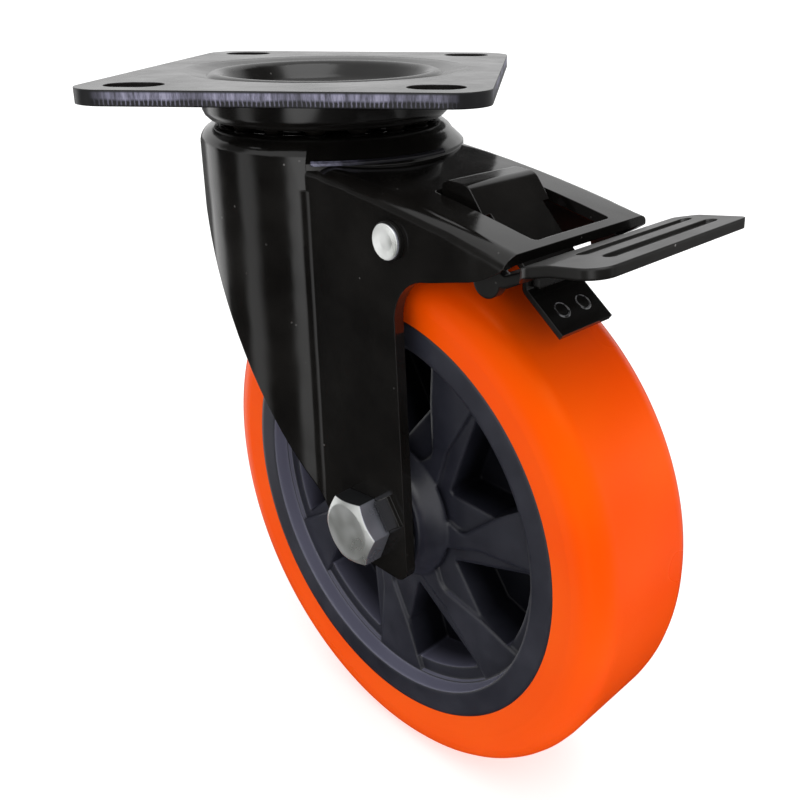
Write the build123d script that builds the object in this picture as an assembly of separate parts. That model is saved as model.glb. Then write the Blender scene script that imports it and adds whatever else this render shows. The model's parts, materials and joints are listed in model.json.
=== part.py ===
"""Swivel castor with a 150 mm wheel and a foot brake. Millimetres, +Z up, origin at the centre of the top face of the plate."""
import os
from math import atan2, cos, degrees, pi, radians, sin
from build123d import *

os.makedirs("parts", exist_ok=True)

# Main sizes of the castor
wheel_d = 150.0
wheel_w = 40.0
head_room = 43.0
total_height = wheel_d + head_room
hub_stand = 2.0
hub_half = wheel_w / 2 + hub_stand
trail = 42.5
fork_turn = 40.0
run_gap = 0.06

# Top plate
plate_x = 100.0
plate_y = 115.0
plate_t = 3.8
plate_corner_r = 10.0
slot_pitch_x = 73.0
slot_pitch_y = 93.0
slot_w = 10.5
slot_len = 14.5
press_t = 3.8

# Swivel head
king_r = 7.0
king_collar_r = 8.2
crown_top_z = -14.5
crown_t = 3.5
top_ball_r = 3.0
top_ball_pitch_r = 28.6
top_ball_z = -12.3
top_ball_count = 16
low_ball_r = 2.5
low_ball_pitch_r = 15.5
low_ball_count = 12
groove_gap = 0.08

# Fork
sheet_t = 3.0
hub_gap = 2.0
fork_half = hub_half + hub_gap + sheet_t
front_r = 36.2
shoulder_r = 5.0
seam_r = 6.0
deck_bend_r = 4.0
deck_end_x = 93.8
window_x0 = 58.3
window_x1 = 90.7
window_half = 14.2

# Axle and hub
axle_r = 6.0
axle_head_af = 18.5
axle_head_h = 7.5
nut_af = 19.0
nut_h = 12.0
washer_t = 1.6
hub_r = 16.3
bearing_w = 8.0
bearing_or = 14.0
bearing_inset = 0.2
bearing_ball_r = 2.2
bearing_ball_count = 8

# Wheel
tyre_t = 15.0
core_r = wheel_d / 2 - tyre_t
core_half = wheel_w / 2 - 0.5
rim_t = 6.8
rim_inner_r = core_r - rim_t
spoke_plane = core_half - 4.3
web_half = 2.5
pocket_count = 7
recess_depth = 1.2
tyre_shoulder_r = 8.0

# Brake
pin_x = 56.5
pin_z = -34.9
pin_r = 3.5
lever_t = 2.5
shoe_t = 1.6
shoe_half = 9.6
hump_half = 12.3
lip_x = 86.1
pedal_half = 29.0

axle_z = -(total_height - wheel_d / 2)
turn = Rot(0, 0, -fork_turn)


def save(shape, node):
    """Write one node; every node is in the plate frame."""
    export_step(shape, f"parts/{node}.step")
    print(node, round(shape.volume / 1000, 2), shape.is_valid)


def save_fork(shape, node):
    """Write a node that was drawn with the trail along X."""
    save(turn * shape, node)


def spun(points):
    """Solid of revolution about Z from a closed list of (radius, z) points."""
    return revolve(make_face(Plane.XZ * Polyline(*points, close=True)), Axis.Z)


def torus_cut(pitch_r, z, r):
    """Ring-shaped race for one row of balls."""
    return Pos(0, 0, z) * Torus(pitch_r, r)


def ball_row(count, pitch_r, z, r, start=0.0):
    """One row of separate balls."""
    row = []
    for i in range(count):
        a = radians(start + 360.0 * i / count)
        row.append(Pos(pitch_r * cos(a), pitch_r * sin(a), z) * Sphere(r))
    return Part() + row


def side_face(points):
    """Face in the side view, from a closed list of (x, z) points."""
    return make_face(Plane.XZ * Polyline(*points, close=True))


def slab(face, y0, y1):
    """Side-view face made into a slab between two y values."""
    return Pos(0, y0, 0) * extrude(face, y1 - y0, dir=(0, 1, 0))


def on_axle(shape):
    """Move a wheel piece drawn about Z onto the axle; local +Z is the far side."""
    return Pos(trail, 0, axle_z) * Rot(-90, 0, 0) * shape


# Top plate: blanked sheet with four slots and a pressed dish for the swivel head
plate = extrude(RectangleRounded(plate_x, plate_y, plate_corner_r), -plate_t)
dish_depth = 10.2
seat_z = -5.6
plate += spun([
    (0, -dish_depth), (26.5, -dish_depth), (29.8, -8.4), (29.9, seat_z), (33.4, seat_z),
    (38.5, 0.1 - plate_t), (0, 0.1 - plate_t),
])
dish_wire = Plane.XZ * (
    Line((40.0, 0), (33.2, -1.5))
    + ThreePointArc((33.2, -1.5), (30.8, -0.55), (28.4, -1.9))
    + Line((28.4, -1.9), (27.0, -4.3))
    + ThreePointArc((27.0, -4.3), (25.4, -6.1), (22.6, -6.4))
    + Line((22.6, -6.4), (0, -6.4))
    + Line((0, -6.4), (0, 1))
    + Line((0, 1), (40.0, 1))
    + Line((40.0, 1), (40.0, 0))
)
plate -= revolve(make_face(dish_wire), Axis.Z)
slots = GridLocations(slot_pitch_x, slot_pitch_y, 2, 2) * SlotOverall(slot_len, slot_w)
plate -= extrude(Sketch() + slots, -plate_t)
plate -= Cylinder(king_r, 40)
plate -= torus_cut(top_ball_pitch_r, top_ball_z, top_ball_r + groove_gap)
save(plate, "top_plate")

# Upper race cup: pressed ring under the plate, its skirt covers the ball row
cup = spun([
    (30.0, seat_z), (35.0, seat_z), (35.0, -10.4), (34.4, -11.8), (33.2, -13.0), (32.1, -12.6),
    (32.1, -8.6), (30.0, -8.6),
])
save(cup, "upper_race_cup")

# King rivet: holds the head together, with a collar that sets the ball play
cap_top_z = -21.8
cap_t = 3.5
king = spun([
    (0, -2.6), (6.0, -2.8), (10.0, -3.8), (12.0, -5.6), (12.0, -6.4), (king_r, -6.4),
    (king_r, -dish_depth), (king_collar_r, -dish_depth), (king_collar_r, cap_top_z), (king_r, cap_top_z),
    (king_r, cap_top_z - cap_t), (11.5, cap_top_z - cap_t), (11.5, cap_top_z - cap_t - 1.2),
    (9.0, cap_top_z - cap_t - 3.2), (5.0, cap_top_z - cap_t - 4.2), (0, cap_top_z - cap_t - 4.4),
])
save(king, "king_rivet")

# Lower race cap: dished steel cap under the crown
low_ball_z = crown_top_z - crown_t - 1.9
cap = spun([
    (king_r, cap_top_z), (19.2, cap_top_z), (19.2, -18.9), (21.6, -18.9),
    (21.6, cap_top_z - 1.6), (19.6, cap_top_z - cap_t), (king_r, cap_top_z - cap_t),
])
cap -= torus_cut(low_ball_pitch_r, low_ball_z, low_ball_r + groove_gap)
save(cap, "lower_race_cap")

# Fork: one thick pressed sheet, domed crown, wrapped front, two legs and a deck with a window
fork_floor = axle_z - 20


def deck_side(drop):
    """Side view of the deck block, lowered by the sheet thickness for the inside."""
    top = ThreePointArc((0, -18.6 - drop), (61.0, -25.1 - drop), (deck_end_x + 20, -36.9 - drop))
    rest = Polyline((deck_end_x + 20, -36.9 - drop), (deck_end_x + 20, fork_floor), (0, fork_floor), (0, -18.6 - drop))
    return make_face(Plane.XZ * (top + rest))


def body(grow):
    """Fork form; grow is 0 for the outside and -sheet_t for the inside."""
    drop = -grow
    r = front_r + grow
    half = fork_half + grow
    top_z = crown_top_z if grow == 0 else crown_top_z - crown_t
    drum = Pos(0, 0, (top_z + fork_floor) / 2) * Cylinder(r, top_z - fork_floor)
    drum = fillet(drum.edges().group_by(Axis.Z)[-1], shoulder_r + grow)
    block = slab(deck_side(drop), -half, half)
    long_edges = [e for e in block.edges().filter_by(GeomType.CIRCLE)]
    block = fillet(long_edges, deck_bend_r + grow)
    plan = Circle(r) + Pos(25, 0) * Rectangle(50, 2 * half)
    seams = [v for v in plan.vertices() if 5 < v.X < r and abs(abs(v.Y) - half) < 0.01]
    plan = fillet(seams, seam_r - grow)
    lower = Pos(0, 0, fork_floor) * extrude(plan, -27.8 - drop - fork_floor)
    return drum + block + lower


shell = body(0) - body(-sheet_t)

# Crown flange over the deck, cut free from the deck at its rim
flange_face = Plane.XZ * Polyline(
    (28.0, -14.5), (32.2, -14.5), (33.6, -15.1), (38.0, -19.2), (39.0, -20.4), (39.0, -22.2),
    (34.8, -22.2), (34.8, -20.9), (30.0, -17.0), (28.0, -17.0), close=True)
flange = Rot(0, 0, -47) * revolve(make_face(flange_face), Axis.Z, 94)
shell += flange

leg_front = (trail - 17.5, axle_z - 0.4)
leg_end = axle_z - 12.0
side = Plane.XZ * (
    Line((-40, 0), (-40, -33.5))
    + Line((-40, -33.5), (-27, -33.5))
    + ThreePointArc((-27, -33.5), (-19.2, -36.2), (-14.2, -41.8))
    + Line((-14.2, -41.8), leg_front)
    + ThreePointArc(leg_front, (trail - 10.7, axle_z - 8.4), (trail - 1.0, leg_end))
    + Line((trail - 1.0, leg_end), (trail + 12.1, leg_end))
    + ThreePointArc((trail + 12.1, leg_end), (trail + 15.2, leg_end + 1.2), (trail + 16.5, leg_end + 4.4))
    + Line((trail + 16.5, leg_end + 4.4), (57.2, -57.0))
    + ThreePointArc((57.2, -57.0), (60.0, -47.4), (68.6, -42.9))
    + Line((68.6, -42.9), (82.6, -39.6))
    + ThreePointArc((82.6, -39.6), (88.5, -37.2), (92.6, -34.6))
    + Line((92.6, -34.6), (deck_end_x, -31.0))
    + Line((deck_end_x, -31.0), (deck_end_x, 0))
    + Line((deck_end_x, 0), (-40, 0))
)
fork = shell & slab(make_face(side), -45, 45)
fork -= Cylinder(king_collar_r + 1.3, 80)
fork -= torus_cut(top_ball_pitch_r, top_ball_z, top_ball_r + groove_gap)
fork -= torus_cut(low_ball_pitch_r, low_ball_z, low_ball_r + groove_gap)
window = Pos((window_x0 + window_x1) / 2, 0) * RectangleRounded(window_x1 - window_x0, 2 * window_half, 1.4)
fork -= Pos(0, 0, -38) * extrude(window, 24)
fork -= Pos(trail, 0, axle_z) * Rot(90, 0, 0) * Cylinder(axle_r + 0.2, 80)
fork -= Pos(pin_x, 0, pin_z) * Rot(90, 0, 0) * Cylinder(pin_r + run_gap, 80)
stop_angle = 35.4
stop = Pos(trail, 0, axle_z) * Rot(0, -stop_angle, 0) * Pos(12.9, -fork_half - 1.1, 0) * Box(6.2, 4.2, 8.4)
fork += stop
save_fork(fork, "fork")

# Ball rows of the swivel head
save_fork(ball_row(top_ball_count, top_ball_pitch_r, top_ball_z, top_ball_r), "upper_balls")
save_fork(ball_row(low_ball_count, low_ball_pitch_r, low_ball_z, low_ball_r, 15.0), "lower_balls")

# Axle bolt: hex head on the near side, one flat against the stop on the leg
bolt_end = fork_half + washer_t + nut_h + 3.0
head = extrude(RegularPolygon(axle_head_af / 2, 6, major_radius=False, rotation=30 - stop_angle), axle_head_h)
head &= Pos(0, 0, axle_head_h / 2) * Cylinder(axle_head_af / 2 * 1.13, axle_head_h)
crop_cone = Pos(0, 0, axle_head_h / 2) * chamfer(
    Cylinder(axle_head_af / 2 * 1.16, axle_head_h).edges().group_by(Axis.Z)[0], 1.2, 2.3)
head &= crop_cone
shank = Cylinder(axle_r, fork_half + bolt_end, align=(Align.CENTER, Align.CENTER, Align.MIN))
shank = chamfer(shank.edges().group_by(Axis.Z)[-1], 1.0)
bolt = Pos(0, 0, -fork_half - axle_head_h) * head + Pos(0, 0, -fork_half) * shank
save_fork(on_axle(bolt), "axle_bolt")

# Nut and washer on the far side
nut = extrude(RegularPolygon(nut_af / 2, 6, major_radius=False), nut_h - 3.5)
nut += Pos(0, 0, nut_h - 3.5) * extrude(Circle(nut_af / 2 - 0.9), 3.5)
nut = fillet(nut.edges().group_by(Axis.Z)[-1], 1.2)
nut -= Cylinder(axle_r, 40)
save_fork(on_axle(Pos(0, 0, fork_half + washer_t) * nut), "axle_nut")
washer = Circle(12.0) - Circle(axle_r + 0.2)
save_fork(on_axle(Pos(0, 0, fork_half) * extrude(washer, washer_t)), "axle_washer")

# Hub stack on the axle: sleeve, two inner races, two spacers
bearing_out = hub_half - bearing_inset
bearing_in = bearing_out - bearing_w
ball_pitch = (axle_r + bearing_or) / 2
sleeve = Circle(8.3) - Circle(axle_r + run_gap)
save_fork(on_axle(Pos(0, 0, -bearing_in) * extrude(sleeve, 2 * bearing_in)), "axle_sleeve")
spacer = Circle(8.3) - Circle(axle_r + run_gap)
spacer_t = fork_half - sheet_t - bearing_out
for node, z0 in (("hub_spacer_near", -fork_half + sheet_t), ("hub_spacer_far", bearing_out)):
    save_fork(on_axle(Pos(0, 0, z0) * extrude(spacer, spacer_t)), node)
for tag, z0 in (("near", -bearing_out), ("far", bearing_in)):
    mid = z0 + bearing_w / 2
    inner = Pos(0, 0, z0) * extrude(Circle(8.6) - Circle(axle_r + run_gap), bearing_w)
    inner -= torus_cut(ball_pitch, mid, bearing_ball_r + groove_gap)
    save_fork(on_axle(inner), f"inner_race_{tag}")
    outer = Pos(0, 0, z0) * extrude(Circle(bearing_or) - Circle(11.4), bearing_w)
    outer -= torus_cut(ball_pitch, mid, bearing_ball_r + groove_gap)
    save_fork(on_axle(outer), f"outer_race_{tag}")
    balls = ball_row(bearing_ball_count, ball_pitch, mid, bearing_ball_r)
    save_fork(on_axle(balls), f"bearing_balls_{tag}")

# Wheel core: moulded, seven swept pockets on each face down to a middle web
core = spun([
    (bearing_or, -hub_half), (hub_r, -hub_half), (hub_r, -20.2), (17.2, -18.6), (20.6, -spoke_plane),
    (rim_inner_r - 0.4, -spoke_plane), (rim_inner_r, -core_half), (core_r, -core_half),
    (core_r, core_half), (rim_inner_r, core_half), (rim_inner_r - 0.4, spoke_plane),
    (20.6, spoke_plane), (17.2, 18.6), (hub_r, 20.2), (hub_r, hub_half), (bearing_or, hub_half),
    (bearing_or, bearing_in), (8.3 + 0.7, bearing_in), (8.3 + 0.7, -bearing_in), (bearing_or, -bearing_in),
])


def polar(r, angle):
    """Point on the wheel's face."""
    return (r * cos(radians(angle)), r * sin(radians(angle)))


lead = polar(rim_inner_r + 3.8, 53.9)
tail = polar(rim_inner_r + 5.7, 23.4)
tip = FilletPolyline(lead, (20.0, 24.2), (13.6, 5.2), (25.6, 1.6), (37.5, 11.7), tail, radius=[3, 4.5, 4.5, 3])
recess = make_face(tip + Polyline(tail, polar(rim_inner_r + 30, 45), lead))
recess &= Circle(rim_inner_r - 0.8)
hole = make_face(Polyline(
    (19.9, 11.5), polar(rim_inner_r + 2.4, 53.6), polar(rim_inner_r + 23.4, 40.8),
    polar(rim_inner_r + 5.4, 22.9), (36.1, 10.9), close=True))
hole &= Circle(rim_inner_r - 4.4)
hole = fillet(hole.vertices(), 1.0)
pocket = Pos(0, 0, spoke_plane - recess_depth) * extrude(recess, recess_depth + 0.01)
pocket += Pos(0, 0, web_half) * extrude(hole, spoke_plane - web_half + 0.01)
pocket = mirror(pocket, Plane.XZ)
pockets = pocket + mirror(pocket, Plane.XY)
for i in range(pocket_count):
    core -= Rot(0, 0, 360.0 * i / pocket_count) * pockets
save_fork(on_axle(core), "wheel_core")

# Tyre: cast round the core, square tread with round shoulders
half_w = wheel_w / 2
tyre_r = wheel_d / 2
tyre_wire = Plane.XZ * (
    Line((core_r, -core_half), (tyre_r - tyre_shoulder_r, -half_w))
    + ThreePointArc(
        (tyre_r - tyre_shoulder_r, -half_w),
        (tyre_r - tyre_shoulder_r * (1 - sin(pi / 4)), -half_w + tyre_shoulder_r * (1 - sin(pi / 4))),
        (tyre_r, -half_w + tyre_shoulder_r))
    + Line((tyre_r, -half_w + tyre_shoulder_r), (tyre_r, half_w - tyre_shoulder_r))
    + ThreePointArc(
        (tyre_r, half_w - tyre_shoulder_r),
        (tyre_r - tyre_shoulder_r * (1 - sin(pi / 4)), half_w - tyre_shoulder_r * (1 - sin(pi / 4))),
        (tyre_r - tyre_shoulder_r, half_w))
    + Line((tyre_r - tyre_shoulder_r, half_w), (core_r, core_half))
    + Line((core_r, core_half), (core_r, -core_half))
)
save_fork(on_axle(revolve(make_face(tyre_wire), Axis.Z)), "tyre")

# Brake pin: rivet across the fork, a round head on each side
pin_half = fork_half
pin = Pos(pin_x, 0, pin_z) * Rot(90, 0, 0) * spun([
    (0, -pin_half - 3.2), (2.4, -pin_half - 3.0), (4.1, -pin_half - 2.4), (4.6, -pin_half - 1.6), (4.6, -pin_half - 1.2),
    (pin_r, -pin_half - 1.2), (pin_r, pin_half + 1.2), (4.6, pin_half + 1.2), (4.6, pin_half + 1.6),
    (4.1, pin_half + 2.4), (2.4, pin_half + 3.0), (0, pin_half + 3.2),
])
save_fork(pin, "brake_pin")
ring = Circle(4.9) - Circle(pin_r + 0.05)
rings = Part() + [
    Pos(pin_x, -pin_half, pin_z) * Rot(90, 0, 0) * extrude(ring, 1.2),
    Pos(pin_x, pin_half, pin_z) * Rot(-90, 0, 0) * extrude(ring, 1.2),
]
save_fork(rings, "pin_washers")

# Brake lever: pressed cheeks beside the fork sides, a web under the deck and the foot pedal
cheek_out = fork_half - sheet_t - 0.8
cheek_in = cheek_out - lever_t


def disc_at(x, z, r):
    """Circle in the side view."""
    return Plane.XZ * Pos(x, z) * Circle(r)


def hull_of(discs):
    """Side-view face wrapped tightly round a list of discs."""
    edges = [Plane.XZ.to_local_coords(e) for d in discs for e in d.edges()]
    return make_face(make_hull(edges).edges())


arm_face = hull_of([disc_at(pin_x, pin_z, 6.0), disc_at(84.4, -37.4, 2.2)])
lobe_face = hull_of([disc_at(84.4, -37.4, 2.2), disc_at(84.2, -39.9, 4.0)])
tail_face = hull_of([disc_at(84.4, -37.4, 2.2), disc_at(89.5, -38.9, 1.3)])
tail_face += hull_of([disc_at(89.5, -38.9, 1.3), disc_at(94.0, -37.0, 1.2)])
cheek = Rot(90, 0, 0) * extrude(arm_face + lobe_face + tail_face, lever_t)
lever = Pos(0, -cheek_in, 0) * cheek + Pos(0, cheek_out, 0) * cheek
web_line = FilletPolyline(
    (lip_x, -44.6), (lip_x, -39.6), (89.6, -39.0), (95.0, -36.6), (99.3, -33.4), (106.5, -31.4), (120.4, -29.5),
    radius=[1.8, 3, 3, 6, 12])
web = slab(Plane.XZ * trace(web_line, lever_t), -pedal_half, pedal_half)
neck = Pos(92.2, 0, -30.8) * Box(17.4, 2 * cheek_out, 22)
lip = Pos(lip_x, 0, -42) * Box(lever_t + 0.2, 2 * shoe_half - 3, 8)
tread_plan = Pos(107.9, 0) * Rectangle(23.4, 2 * pedal_half)
far_corner = max(tread_plan.vertices(), key=lambda v: v.X + v.Y)
tread_plan = fillet([v for v in tread_plan.vertices() if v != far_corner], 5.5)
far_corner = max(tread_plan.vertices(), key=lambda v: v.X + v.Y)
tread_plan = fillet([far_corner], 2.0)
lever += web & (neck + lip + Pos(0, 0, -60) * extrude(tread_plan, 50))
for x, z in ((106.3, -30.25), (113.2, -29.3)):
    groove = SlotOverall(2 * pedal_half - 15, 3.2, rotation=90)
    lever -= Pos(x, 3, z) * Rot(0, -8.0, 0) * Pos(0, 0, -0.8) * extrude(groove, 3)
lever -= Pos(pin_x, 0, pin_z) * Rot(90, 0, 0) * Cylinder(pin_r + run_gap, 80)
save_fork(lever, "brake_lever")

# Brake shoe: bent strap, a hump that rises through the window, ears on the pin and a shoe over the tread
rise_line = FilletPolyline((60.1, -31.0), (60.1, -22.6), (67.7, -23.0), (72.4, -29.2), radius=[1.6, 3.2])
weld_x = lip_x - (lever_t + shoe_t) / 2
run_line = FilletPolyline(
    (71.0, -27.4), (72.4, -29.2), (weld_x, -41.0), (weld_x, -45.5), (95.3, -54.35), radius=[1.4, 1.4, 1.4])
strap = slab(Plane.XZ * trace(run_line, shoe_t), -shoe_half, shoe_half)
strap += slab(Plane.XZ * trace(rise_line, shoe_t), -hump_half, hump_half)
ear_face = side_face([
    (59.6, -23.2), (67.2, -23.4), (71.6, -29.0), (71.6, -33.0), (62.0, -40.4), (56.0, -40.4),
    (51.0, -36.0), (52.0, -31.4), (56.0, -29.2), (59.6, -29.2)])
strap += slab(ear_face, -hump_half, -hump_half + shoe_t) + slab(ear_face, hump_half - shoe_t, hump_half)
slope = degrees(atan2(8.85, 11.8))
for y in (-4.0, 4.0):
    place = Pos(90.4, y, -50.67) * Rot(0, slope, 0)
    strap += place * Pos(0, 0, -1.3) * Cone(1.0, 2.2, 1.4)
    strap -= place * Pos(0, 0, 0.35) * Cone(0.8, 1.7, 0.95)
strap -= Pos(pin_x, 0, pin_z) * Rot(90, 0, 0) * Cylinder(pin_r + run_gap, 80)
save_fork(strap, "brake_shoe")
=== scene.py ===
"""Swivel castor with a foot brake: the finish of each piece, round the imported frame."""
import json
from math import atan2, cos, degrees, pi, radians, sin, tan

import bmesh
import bpy
from mathutils import Matrix, Quaternion, Vector

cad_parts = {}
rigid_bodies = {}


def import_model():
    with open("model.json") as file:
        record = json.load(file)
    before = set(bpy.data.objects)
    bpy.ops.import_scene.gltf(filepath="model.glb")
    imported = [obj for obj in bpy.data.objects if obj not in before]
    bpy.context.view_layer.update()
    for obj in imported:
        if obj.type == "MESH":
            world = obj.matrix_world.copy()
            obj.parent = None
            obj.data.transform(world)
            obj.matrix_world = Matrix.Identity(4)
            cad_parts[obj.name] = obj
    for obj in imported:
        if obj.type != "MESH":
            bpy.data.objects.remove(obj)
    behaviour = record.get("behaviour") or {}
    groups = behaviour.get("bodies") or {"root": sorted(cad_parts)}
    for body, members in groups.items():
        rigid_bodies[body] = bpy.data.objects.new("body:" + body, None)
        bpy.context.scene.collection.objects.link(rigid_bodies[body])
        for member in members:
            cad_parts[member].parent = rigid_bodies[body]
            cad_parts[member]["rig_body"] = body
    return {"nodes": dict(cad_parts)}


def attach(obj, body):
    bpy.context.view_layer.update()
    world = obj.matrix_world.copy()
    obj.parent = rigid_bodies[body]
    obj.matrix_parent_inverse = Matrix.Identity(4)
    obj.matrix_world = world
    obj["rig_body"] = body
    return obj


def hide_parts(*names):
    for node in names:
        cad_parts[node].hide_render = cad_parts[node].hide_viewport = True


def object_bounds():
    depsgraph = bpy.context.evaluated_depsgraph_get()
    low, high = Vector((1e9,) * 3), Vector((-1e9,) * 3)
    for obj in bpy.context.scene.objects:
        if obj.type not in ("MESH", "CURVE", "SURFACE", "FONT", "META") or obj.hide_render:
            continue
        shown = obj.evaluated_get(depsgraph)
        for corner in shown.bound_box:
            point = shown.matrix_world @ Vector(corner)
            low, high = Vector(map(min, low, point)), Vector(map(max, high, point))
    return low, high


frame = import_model()
cad_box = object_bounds()
mm = 0.001


# Mounting plate: 3.8 mm steel blanked and pressed in one stroke, then dipped in
# black paint. The press leaves a smooth roll on the upper edge and a torn band below.
def shader(mat, kind, ins=None, **settings):
    """Adds one node to a finish; ins gives each input a value or another node's output."""
    made = mat.node_tree.nodes.new("ShaderNode" + kind)
    for key, value in settings.items():
        setattr(made, key, value)
    for key, value in (ins or {}).items():
        if isinstance(value, bpy.types.NodeSocket):
            mat.node_tree.links.new(value, made.inputs[key])
        else:
            made.inputs[key].default_value = value
    return made


def finish(name, **values):
    """Starts a finish, with values set on its surface, and returns it with the place in the frame."""
    mat = bpy.data.materials.new(name)
    mat.use_nodes = True
    for key, value in values.items():
        mat.node_tree.nodes["Principled BSDF"].inputs[key.replace("_", " ")].default_value = value
    return mat, shader(mat, "TexCoord").outputs["Object"]


def drive(mat, name, source):
    """Lets a node's output set one input of the surface."""
    mat.node_tree.links.new(source, mat.node_tree.nodes["Principled BSDF"].inputs[name])


def noise(mat, place, scale, detail, rough=0.5, swirl=0.0):
    """Grey clouds round 0.5; a larger scale gives smaller clouds."""
    return shader(mat, "TexNoise", {"Vector": place, "Scale": scale, "Detail": detail, "Roughness": rough,
                                    "Distortion": swirl}).outputs["Fac"]


def ramp(mat, source, stops):
    """Turns a grey value into colours or other greys at the given stops."""
    made = shader(mat, "ValToRGB", {"Fac": source})
    edge = made.color_ramp.elements
    while len(edge) < len(stops):
        edge.new(0.5)
    for item, (at, tone) in zip(edge, stops):
        item.position = at
        item.color = (*tone, 1) if isinstance(tone, tuple) else (tone, tone, tone, 1)
    return made.outputs["Color"]


def spread(mat, source, start, stop, low=0.0, high=1.0, **settings):
    """Grey that goes from low to high while the source goes from start to stop."""
    return shader(mat, "MapRange", {"Value": source, "From Min": start, "From Max": stop,
                                    "To Min": low, "To Max": high}, **settings).outputs["Result"]


def blend(mat, share, first, last):
    """Goes from the first colour to the last with a share from 0 to 1."""
    return shader(mat, "Mix", {"Factor": share, "A": first, "B": last}, data_type="RGBA").outputs["Result"]


def maths(mat, operation, first, second=0.0):
    """Works out one sum on greys."""
    return shader(mat, "Math", {0: first, 1: second}, operation=operation).outputs[0]


def eased(mat, radius, samples=8):
    """Facing of the surface with its edges rounded by the radius."""
    return shader(mat, "Bevel", {"Radius": radius}, samples=samples).outputs["Normal"]


def relief(mat, height, strength, depth, facing):
    """Facing of the surface with a fine relief added."""
    return shader(mat, "Bump", {"Height": height, "Strength": strength, "Distance": depth,
                                "Normal": facing}).outputs["Normal"]


def black_paint(name, rough, edge_r=0.35 * mm):
    """Dipped gloss black with slow waves, fine orange peel, dull clouds and specks of dust."""
    mat, place = finish(name, Specular_IOR_Level=0.45)
    cloud = noise(mat, place, 42.0, 6.0, 0.62)
    slow = noise(mat, place, 75.0, 1.0)
    skin = noise(mat, place, 650.0, 2.0)
    dust = shader(mat, "TexVoronoi", {"Vector": place, "Scale": 240.0, "Randomness": 1.0})
    speck = ramp(mat, dust.outputs["Distance"], [(0.05, 1.0), (0.09, 0.0)])
    rare = ramp(mat, cloud, [(0.5, 0.0), (0.6, 1.0)])
    dusty = maths(mat, "MULTIPLY", speck, rare)
    tone = ramp(mat, cloud, [(0.3, (0.0035, 0.0032, 0.003)), (0.7, (0.0085, 0.0078, 0.007))])
    drive(mat, "Base Color", blend(mat, dusty, tone, (0.16, 0.155, 0.15, 1)))
    drive(mat, "Roughness", spread(mat, cloud, 0.3, 0.7, rough - 0.04, rough + 0.08))
    sag = relief(mat, slow, 0.25, 0.8 * mm, eased(mat, edge_r))
    drive(mat, "Normal", relief(mat, skin, 0.04, 0.1 * mm, sag))
    return mat


def copied(node):
    """Merged copy of a frame node's mesh."""
    bm = bmesh.new()
    bm.from_mesh(frame["nodes"][node].data)
    bmesh.ops.remove_doubles(bm, verts=bm.verts, dist=2e-6)
    return bm


def shown_piece(name, bm, finish_of, slot, *nodes, added=False):
    """Makes a shown object of a bmesh, creases kept sharp, in place of frame nodes or added to them."""
    crease = radians(32)
    for edge in bm.edges:
        edge.smooth = edge.is_manifold and edge.calc_face_angle() < crease
    for face in bm.faces:
        face.smooth = True
    mesh = bpy.data.meshes.new(name)
    bm.to_mesh(mesh)
    bm.free()
    mesh.materials.append(finish_of)
    piece = bpy.data.objects.new(name, mesh)
    bpy.context.scene.collection.objects.link(piece)
    weighted = piece.modifiers.new("whole_flats", "WEIGHTED_NORMAL")
    weighted.keep_sharp = True
    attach(piece, frame["nodes"][nodes[0]]["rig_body"])
    if not added:
        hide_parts(*nodes)
    return piece


plate_t, half_x, half_y, corner_w = 3.8 * mm, 50 * mm, 57.5 * mm, 8 * mm
plate_paint = black_paint("plate_paint", 0.22)
plate = shown_piece("plate_sheet", copied("top_plate"), plate_paint, "black_paint", "top_plate")
# Painted reflection: the dipped edge gets a pale lavender band. The torn striations and mottling in it are
# the edge's own grain.
mat, place = finish("sheared_edge", Specular_IOR_Level=0.4, Roughness=0.4)
axes = shader(mat, "SeparateXYZ", {"Vector": place}).outputs
height = axes["Z"]
along = maths(mat, "ADD", axes["X"], axes["Y"])
round_rim = shader(mat, "CombineXYZ", {"X": along, "Z": height}).outputs["Vector"]
drawn = shader(mat, "Mapping", {"Vector": place, "Scale": (1.0, 1.0, 0.12)}).outputs["Vector"]
streak = noise(mat, drawn, 900.0, 4.0, 0.75)
blotch = noise(mat, drawn, 95.0, 3.0, 0.6)
rib = shader(mat, "TexWave", {"Vector": round_rim, "Scale": 300.0, "Distortion": 2.2, "Detail": 3.0,
                              "Detail Scale": 1.4, "Detail Roughness": 0.7})
line = ramp(mat, rib.outputs["Fac"], [(0.6, 0.0), (0.95, 0.55)])
lower = maths(mat, "ADD", height, maths(mat, "MULTIPLY", blotch, 1.4 * mm))
lower = spread(mat, lower, -0.3 * plate_t, -0.46 * plate_t)
shown = shader(mat, "Mix", {"Factor": lower, "A": 0.8, "B": line}).outputs["Result"]
mottle = ramp(mat, streak, [(0.34, 0.2), (0.6, 1.0)])
thin = ramp(mat, blotch, [(0.36, 0.2), (0.5, 1.0)])
# Painted shade: the band goes dark at the roll on top, at the foot and where the edge turns round the
# corners.
roll_shade = spread(mat, height, -0.08 * plate_t, -0.2 * plate_t)
foot = spread(mat, height, -0.97 * plate_t, -0.84 * plate_t)
flat_run = 0.0
for axis, half in (("X", half_x), ("Y", half_y)):
    out = maths(mat, "ABSOLUTE", axes[axis])
    out = spread(mat, out, half - corner_w + 1 * mm, half - corner_w - 6 * mm)
    flat_run = maths(mat, "MAXIMUM", out, flat_run)
for part in (mottle, roll_shade, thin, foot, flat_run):
    shown = maths(mat, "MULTIPLY", shown, part)
drive(mat, "Base Color", ramp(mat, shown, [
    (0.0, (0.004, 0.004, 0.005)), (0.6, (0.17, 0.165, 0.23)), (1.0, (0.33, 0.32, 0.42))]))
drive(mat, "Normal", relief(mat, shown, 0.6, 0.25 * mm, eased(mat, 0.5 * mm)))
plate.data.materials.append(mat)
upright, rim_w = 0.3, 0.5 * mm
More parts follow.
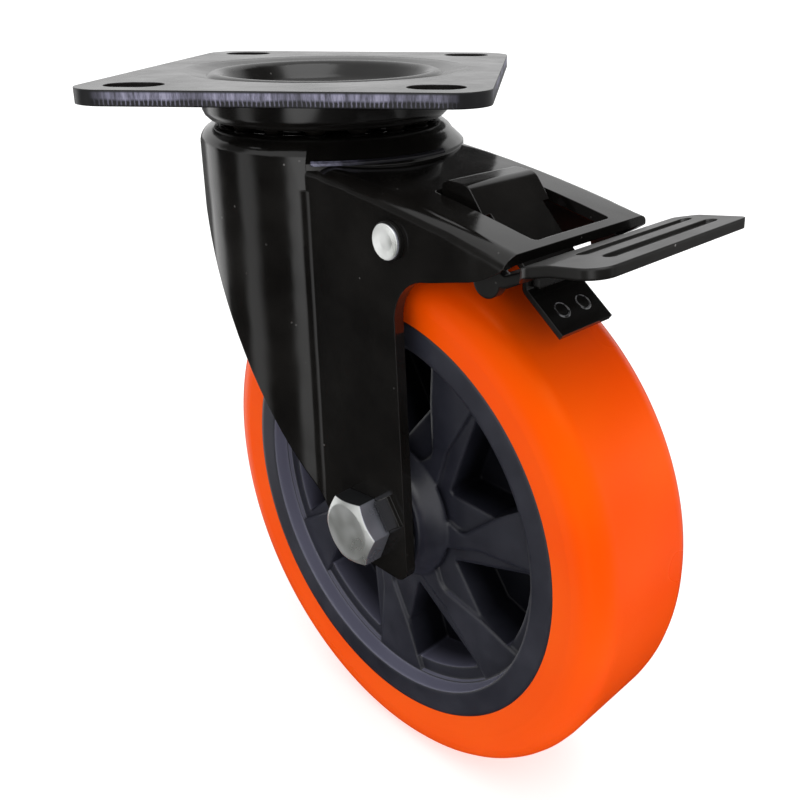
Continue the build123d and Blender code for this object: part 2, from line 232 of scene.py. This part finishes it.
for face in plate.data.polygons:
    x, y = abs(face.center.x), abs(face.center.y)
    side = x > half_x - rim_w or y > half_y - rim_w
    corner = x > half_x - corner_w and y > half_y - corner_w
    if abs(face.normal.z) < upright and (corner or side):
        face.material_index = 1


# Swivel head: a pressed cup with a rolled skirt holds the upper ball row under the
# plate. It is painted with the plate, and the king rivet is struck through the whole head.
def turned(corners, place=Matrix(), steps=160):
    """Solid turned about Z from (radius, height, rounding) corners in mm, open at the axis or a ring."""
    line = []
    arc_steps = 8
    for i, (r, z, ease) in enumerate(corners):
        here = Vector((r, z))
        back = (Vector(corners[i - 1][:2]) - here).normalized()
        ahead = (Vector(corners[(i + 1) % len(corners)][:2]) - here).normalized()
        if not ease:
            line.append(here)
            continue
        half = back.angle(ahead) / 2
        middle = here + (back + ahead).normalized() * ease / sin(half)
        first = (here + back * ease / tan(half) - middle).normalized()
        last = (here + ahead * ease / tan(half) - middle).normalized()
        line += [middle + ease * first.slerp(last, step / arc_steps) for step in range(arc_steps + 1)]
    bm = bmesh.new()
    verts = [bm.verts.new((point.x * mm, 0, point.y * mm)) for point in line]
    loop = verts + (verts[:1] if corners[0][0] else [])
    edges = [bm.edges.new(pair) for pair in zip(loop, loop[1:])]
    bmesh.ops.spin(bm, geom=verts + edges, axis=(0, 0, 1), angle=2 * pi, steps=steps, use_merge=True)
    bmesh.ops.remove_doubles(bm, verts=bm.verts, dist=1e-6)
    bmesh.ops.recalc_face_normals(bm, faces=bm.faces)
    bmesh.ops.transform(bm, matrix=place, verts=bm.verts)
    return bm


head_paint = black_paint("head_paint", 0.15)
shown_piece("race_cup", copied("upper_race_cup"), head_paint, "black_paint", "upper_race_cup")
rivet = turned([
    (0, -4.4, 0), (5.0, -4.5, 3), (9.4, -5.0, 3), (12.0, -6.1, 0.2), (12.0, -6.4, 0), (7.0, -6.4, 0),
    (7.0, -10.2, 0), (8.2, -10.2, 0), (8.2, -21.8, 0), (7.0, -21.8, 0), (7.0, -25.3, 0), (11.5, -25.3, 0),
    (11.5, -26.5, 0.8), (9.0, -28.5, 1.5), (5.0, -29.5, 2), (0, -29.7, 0)])
shown_piece("king_rivet_head", rivet, head_paint, "black_paint", "king_rivet")

# Fork: one 3 mm sheet, drawn over a punch into the domed crown, then folded into two
# legs and a deck. A low tab is struck out beside the bolt head to stop it turning, and
# the crown's foot keeps a thin cut edge, which carries a pale painted highlight.
trail, axle_z, leg_face, fork_turn = 42.5 * mm, -118 * mm, 27 * mm, -40
turn = Matrix.Rotation(radians(fork_turn), 4, "Z")
leg_line = turn @ Vector((0, 1, 0))
tab_from, tab_to, tab_top, tab_h = trail + 2 * mm, trail + 20 * mm, axle_z + 18 * mm, 1.2 * mm
bm = copied("fork")
for vert in bm.verts:
    spot = turn.inverted() @ vert.co
    if tab_from < spot.x < tab_to and spot.z < tab_top and spot.y < -leg_face - 0.3 * mm:
        spot.y = -leg_face - tab_h
        vert.co = turn @ spot
shown_piece("fork_sheet", bm, black_paint("fork_paint", 0.12), "black_paint", "fork")
edge_from, edge_to = -45, 14
bm = turned([(38.6, -20.9, 0), (39.6, -20.9, 0.2), (39.7, -20.2, 0.2), (38.7, -19.5, 0.2)], turn, 240)
far_off = [v for v in bm.verts if not edge_from < degrees(atan2(v.co.y, v.co.x)) - fork_turn < edge_to]
bmesh.ops.delete(bm, geom=far_off, context="VERTS")
bmesh.ops.holes_fill(bm, edges=bm.edges)
bmesh.ops.recalc_face_normals(bm, faces=bm.faces)
# Painted highlight: the cut edge is pale lavender, broken by streaks, and fades to black from one end of the
# strip to the other.
mat, place = finish("cut_edge", Specular_IOR_Level=0.5, Roughness=0.3)
streak = ramp(mat, noise(mat, place, 420.0, 4.0, 0.7), [(0.4, 0.25), (0.6, 1.0)])
edge_highlight = shader(mat, "SeparateXYZ", {"Vector": place}).outputs["X"]
edge_highlight = maths(mat, "MULTIPLY", spread(mat, edge_highlight, 17 * mm, 3 * mm), streak)
drive(mat, "Base Color", ramp(mat, edge_highlight, [(0.0, (0.01, 0.01, 0.013)), (1.0, (0.3, 0.3, 0.42))]))
shown_piece("crown_edge", bm, mat, "black_paint", "fork", added=True)


# Axle bolt: M12 hexagon bolt, forged and zinc plated, with a turned chamfer on its head
# and a lock nut on the far side. The head is left bare of marks.
def dot(mat, first, second):
    """Length of one vector along another."""
    return shader(mat, "VectorMath", {0: first, 1: second}, operation="DOT_PRODUCT").outputs["Value"]


def zinc_plate(name, rough, metal, low=0.54, high=0.7):
    """Zinc from low to high grey on ends, with painted shade: bluish on the walls round them and dark on
    faces that look up.
    """
    mat, place = finish(name, Metallic=metal)
    cloud = noise(mat, place, 150.0, 1.0, 0.4)
    tone = ramp(mat, cloud, [(0.35, (low, low * 1.03, low * 0.98)), (0.65, (high, high * 1.02, high))])
    facing = shader(mat, "TexCoord").outputs["Normal"]
    # Painted shade by facing: the walls turn bluish grey and the faces that look up turn near black.
    end_on = spread(mat, maths(mat, "ABSOLUTE", dot(mat, facing, leg_line)), 0.3, 0.7)
    top_shade = spread(mat, shader(mat, "SeparateXYZ", {"Vector": facing}).outputs["Z"], 0.55, 0.95)
    tone = blend(mat, end_on, (0.31, 0.32, 0.37, 1), tone)
    drive(mat, "Base Color", blend(mat, top_shade, tone, (0.035, 0.037, 0.04, 1)))
    drive(mat, "Roughness", spread(mat, cloud, 0.3, 0.7, rough - 0.06, rough + 0.1))
    drive(mat, "Normal", eased(mat, 0.2 * mm))
    return mat


head_w, head_h, face_r, chamfer = 17.8 * mm, 6.6 * mm, 7.9 * mm, 0.55
keen_angle, keen_r, head_turn = radians(14), 0.22 * mm, radians(5.4)
axle = turn @ Matrix.Translation((trail, 0, axle_z)) @ Matrix.Rotation(radians(-90), 4, "X")
zinc = zinc_plate("zinc_plate", 0.3, 0.8)
bolt_r, bolt_end, groove, half_pitch = 6.0, -70.6, 0.5, 0.6
thread = [(bolt_r - groove * (i % 2), -58.0 - half_pitch * i, 0) for i in range(20)]
bm = turned([(0, 0.5, 0), (bolt_r, 0.5, 0), *thread, (5.0, bolt_end, 0), (0, bolt_end, 0)], steps=48)
rim = bmesh.ops.create_circle(bm, cap_ends=True, segments=120, radius=face_r,
                              matrix=Matrix.Translation((0, 0, head_h)))["verts"]
rim = [edge for edge in bm.edges if edge.verts[0] in rim and edge.verts[1] in rim]
head = set(rim)
for wall in ("chamfer", "flats"):
    grown = bmesh.ops.extrude_edge_only(bm, edges=rim)["geom"]
    for vert in [item for item in grown if isinstance(item, bmesh.types.BMVert)]:
        angle = atan2(vert.co.y, vert.co.x)
        reach = head_w / 2 / cos(angle % (pi / 3) - pi / 6)
        low = 0 if wall == "flats" else head_h - (reach - face_r) * chamfer
        vert.co = (reach * cos(angle), reach * sin(angle), low)
    rim = [item for item in grown if isinstance(item, bmesh.types.BMEdge)]
    head.update(edge for item in rim for vert in item.verts for edge in vert.link_edges)
bmesh.ops.contextual_create(bm, geom=rim)
bmesh.ops.recalc_face_normals(bm, faces=bm.faces)
keen = [edge for edge in head if edge.is_valid and edge.is_manifold and edge.calc_face_angle() > keen_angle]
bmesh.ops.bevel(bm, geom=keen, offset=keen_r, segments=2, profile=0.5, affect="EDGES", material=-1,
                clamp_overlap=True)
outward = Matrix.Rotation(pi, 4, "X") @ Matrix.Rotation(head_turn, 4, "Z")
outward = Matrix.Translation((0, 0, -leg_face)) @ outward
bmesh.ops.transform(bm, matrix=axle @ outward, verts=bm.verts)
shown_piece("hex_bolt", bm, zinc, "zinc", "axle_bolt")
shown_piece("lock_nut", copied("axle_nut"), zinc, "zinc", "axle_nut")
shown_piece("flat_washer", copied("axle_washer"), zinc, "zinc", "axle_washer")

# Brake pin: a soft steel rivet across the fork, zinc plated, with a thin dished head on
# the near side and a low domed head on the far side.
pin_x, pin_z = 56.5 * mm, -34.9 * mm
pin_place = turn @ Matrix.Translation((pin_x, 0, pin_z)) @ Matrix.Rotation(radians(90), 4, "X")
pin = turned([
    (0, 28.3, 0), (2.2, 28.4, 2), (3.8, 28.85, 0.4), (4.2, 28.95, 0.3), (4.55, 28.7, 0.25), (4.55, 28.2, 0),
    (3.5, 28.2, 0), (3.5, -28.2, 0), (4.6, -28.2, 0), (4.6, -28.8, 0.5), (3.6, -29.7, 1.5), (0, -30.2, 0)],
    pin_place, 96)
shown_piece("rivet_pin", pin, zinc_plate("pin_zinc", 0.3, 0.5, 0.42, 0.95), "zinc", "brake_pin")

# Wheel core: moulded nylon, charcoal with a blue cast, with swept pockets that save
# material. The mould leaves soft edges and a fine satin skin. Painted shade darkens it
# deep in the pockets, and a pale painted reflection lies on the walls that face the hub.
mat, place = finish("core_nylon", Specular_IOR_Level=0.6)
cloud = noise(mat, place, 55.0, 6.0, 0.6)
grain = noise(mat, place, 1400.0, 2.0)
tone = ramp(mat, cloud, [(0.3, (0.011, 0.0115, 0.018)), (0.7, (0.025, 0.026, 0.038))])
depth = maths(mat, "ABSOLUTE", dot(mat, place, leg_line))
# Painted shade: colour and reflection fall to a fifth deep in the pockets.
pocket_shade = spread(mat, depth, 7 * mm, 16 * mm, 0.2)
# Painted reflection: walls that face the hub turn pale lavender.
from_hub = shader(mat, "VectorMath", {0: place, 1: axle.translation}, operation="SUBTRACT").outputs["Vector"]
from_hub = shader(mat, "VectorMath", {0: from_hub}, operation="NORMALIZE").outputs["Vector"]
hub_wall_reflection = spread(mat, dot(mat, from_hub, shader(mat, "TexCoord").outputs["Normal"]), -0.35, -0.85)
tone = blend(mat, hub_wall_reflection, tone, (0.13, 0.13, 0.185, 1))
tone = shader(mat, "VectorMath", {0: tone, 1: pocket_shade}, operation="MULTIPLY").outputs["Vector"]
drive(mat, "Base Color", tone)
drive(mat, "Specular IOR Level", maths(mat, "MULTIPLY", pocket_shade, 0.6))
drive(mat, "Roughness", spread(mat, cloud, 0.3, 0.7, 0.3, 0.46))
drive(mat, "Normal", relief(mat, grain, 0.12, 0.1 * mm, eased(mat, 1.5 * mm, 12)))
shown_piece("spoked_core", copied("wheel_core"), mat, "core_plastic", "wheel_core")

# Tyre: orange polyurethane cast round the core, so the skin is smooth and glossy and
# lets a little light in. The tread is flat, with a round shoulder on each side.
mat, place = finish("cast_polyurethane", Specular_IOR_Level=0.3, Specular_Tint=(1.0, 0.42, 0.08, 1),
                    Subsurface_Weight=0.12, Subsurface_Radius=(1.0, 0.35, 0.1), Subsurface_Scale=4 * mm)
cloud = noise(mat, place, 24.0, 1.0)
drive(mat, "Base Color", ramp(mat, cloud, [(0.3, (0.85, 0.064, 0.0)), (0.7, (0.92, 0.092, 0.0))]))
drive(mat, "Roughness", spread(mat, cloud, 0.3, 0.7, 0.26, 0.38))
tyre_r, half_w, shoulder_r = 75.0, 20.0, 7.6
tyre = turned([
    (60.0, 19.5, 0.3), (66.0, half_w, 4), (tyre_r, half_w, shoulder_r), (tyre_r, -half_w, shoulder_r),
    (66.0, -half_w, 4), (60.0, -19.5, 0.3)], axle, 256)
shown_piece("cast_tyre", tyre, mat, "tread", "tyre")

# Brake: the pedal lever and the shoe strap are pressed from 2.5 and 1.6 mm steel,
# painted black and spot welded together, so the welds show as two worn rings.
pedal_paint = black_paint("pedal_paint", 0.3, 0.9 * mm)
shown_piece("pedal_lever", copied("brake_lever"), pedal_paint, "black_paint", "brake_lever")
shoe_paint = black_paint("shoe_paint", 0.14)
shown_piece("shoe_strap", copied("brake_shoe"), shoe_paint, "black_paint", "brake_shoe")
mat, place = finish("weld_mark", Roughness=0.3)
worn = noise(mat, place, 700.0, 3.0, swirl=1.5)
drive(mat, "Base Color", ramp(mat, worn, [(0.42, (0.012, 0.012, 0.012)), (0.58, (0.2, 0.2, 0.21))]))
weld_x, weld_z, shoe_slope = 90.4 * mm, -50.67 * mm, Matrix.Rotation(radians(36.9), 4, "Y")
for name, weld_y in (("weld_near", -4 * mm), ("weld_far", 4 * mm)):
    weld_place = turn @ Matrix.Translation((weld_x, weld_y, weld_z)) @ shoe_slope
    bm = turned([
        (0, 0.1, 0), (0.8, 0.15, 0.3), (1.5, 0.85, 0.3), (2.1, 1.05, 0.4), (2.6, 0.75, 0), (2.6, 0.5, 0),
        (0, -0.2, 0)], weld_place, 48)
    shown_piece(name, bm, mat, "black_paint", "brake_shoe", added=True)

# Bearings and spacers: ground steel rings and balls inside the hub and the swivel head.
# Nothing of them shows but slivers, so they keep their frame solids.
bearing_steel = finish("ground_steel", Metallic=1.0, Roughness=0.18, Base_Color=(0.62, 0.62, 0.63, 1))[0]
inner_paint = black_paint("inner_paint", 0.3)
grease = finish("dark_grease", Roughness=0.4, Specular_IOR_Level=0.3, Base_Color=(0.006, 0.005, 0.004, 1))[0]
inner_finish = {"lower_race_cap": inner_paint, "pin_washers": inner_paint, "upper_balls": grease,
                "lower_balls": grease}
for node, thing in frame["nodes"].items():
    if not thing.hide_render:
        thing.data.materials.clear()
        thing.data.materials.append(inner_finish.get(node, bearing_steel))

# Studio: a pale floor under the wheel and a white tent all round, dark below the table's
# edge but for a few pale cards, which draw the streaks in the paint. The floor glows a
# little and isn't mirrored in the paint.
floor_z = cad_box[0].z
bm = bmesh.new()
bmesh.ops.create_grid(bm, x_segments=1, y_segments=1, size=30.0)
bmesh.ops.translate(bm, vec=(0, 0, floor_z), verts=bm.verts)
mesh = bpy.data.meshes.new("floor")
bm.to_mesh(mesh)
bm.free()
floor = bpy.data.objects.new("floor", mesh)
bpy.context.scene.collection.objects.link(floor)
pale = finish("pale_floor", Roughness=0.9, Specular_IOR_Level=0.0, Base_Color=(0.6, 0.6, 0.6, 1),
              Emission_Color=(1, 1, 1, 1), Emission_Strength=0.6)[0]
floor.data.materials.append(pale)
floor.visible_glossy = False

world = bpy.data.worlds.new("surround")
bpy.context.scene.world = world
world.use_nodes = True
way = shader(world, "TexCoord").outputs["Generated"]
east, north, up = shader(world, "SeparateXYZ", {"Vector": way}).outputs
compass = spread(world, maths(world, "ARCTAN2", north, east), -pi, pi)
cards = ramp(world, compass, [
    (0.0, 0.015), (0.03, 0.015), (0.047, 0.4), (0.075, 0.4), (0.096, 0.012), (0.168, 0.012), (0.18, 0.6),
    (0.21, 0.6), (0.235, 0.08), (0.3, 0.04), (0.37, 0.02), (0.44, 0.02), (0.47, 0.3), (0.5, 0.05),
    (0.6, 0.16), (0.7, 0.2), (0.78, 0.15), (0.84, 0.06), (0.885, 0.1), (0.905, 0.8), (0.945, 0.6),
    (0.965, 0.03), (1.0, 0.015)])


def patch(toward, rim, whole, out, inside):
    """Soft round patch of the surround: out gives way to inside between the cosines rim and whole."""
    return spread(world, dot(world, way, toward), rim, whole, out, inside, interpolation_type="SMOOTHSTEP")


low_card = patch((-0.186, -0.973, -0.139), 0.955, 0.992, 0.0, 0.85)
cards = blend(world, low_card, cards, (1, 1, 1, 1))
deep = spread(world, up, -0.6, -0.46)
cards = shader(world, "VectorMath", {0: cards, 1: deep}, operation="MULTIPLY").outputs["Vector"]
right_flag = patch((0.777, 0.312, 0.547), 0.86, 0.94, 0.49, 0.03)
left_flag = patch((-0.962, -0.121, 0.242), 0.92, 0.985, 1.0, 0.15)
tent = maths(world, "MULTIPLY", right_flag, left_flag)
above = spread(world, up, -0.045, -0.005, interpolation_type="SMOOTHSTEP")
backdrop = world.node_tree.nodes["Background"]
backdrop.inputs["Strength"].default_value = 2.0
world.node_tree.links.new(blend(world, above, cards, tent), backdrop.inputs["Color"])

key = bpy.data.lights.new("key", "SUN")
key.energy = 1.15
key.angle = radians(50)
lamp = bpy.data.objects.new("key", key)
lamp.rotation_euler = Vector((-0.35, 0.35, -0.87)).to_track_quat("-Z", "Y").to_euler()
bpy.context.scene.collection.objects.link(lamp)

# Camera: the photograph's stand point and framing.
eye = bpy.data.cameras.new("photo_camera")
eye.sensor_width = 36.0
eye.lens = 42.31
eye.shift_x = -0.1161
eye.shift_y = -0.1536
eye.clip_start = 0.01
camera = bpy.data.objects.new("photo_camera", eye)
camera.location = (0.06061, -0.27125, 0.02561)
look = Vector((-0.044987, 0.950592, -0.307167))
camera.rotation_euler = (look.to_track_quat("-Z", "Y") @ Quaternion((0, 0, 1), radians(0.17))).to_euler()
bpy.context.scene.collection.objects.link(camera)
bpy.context.scene.camera = camera
bpy.context.scene.view_settings.view_transform = "Standard"
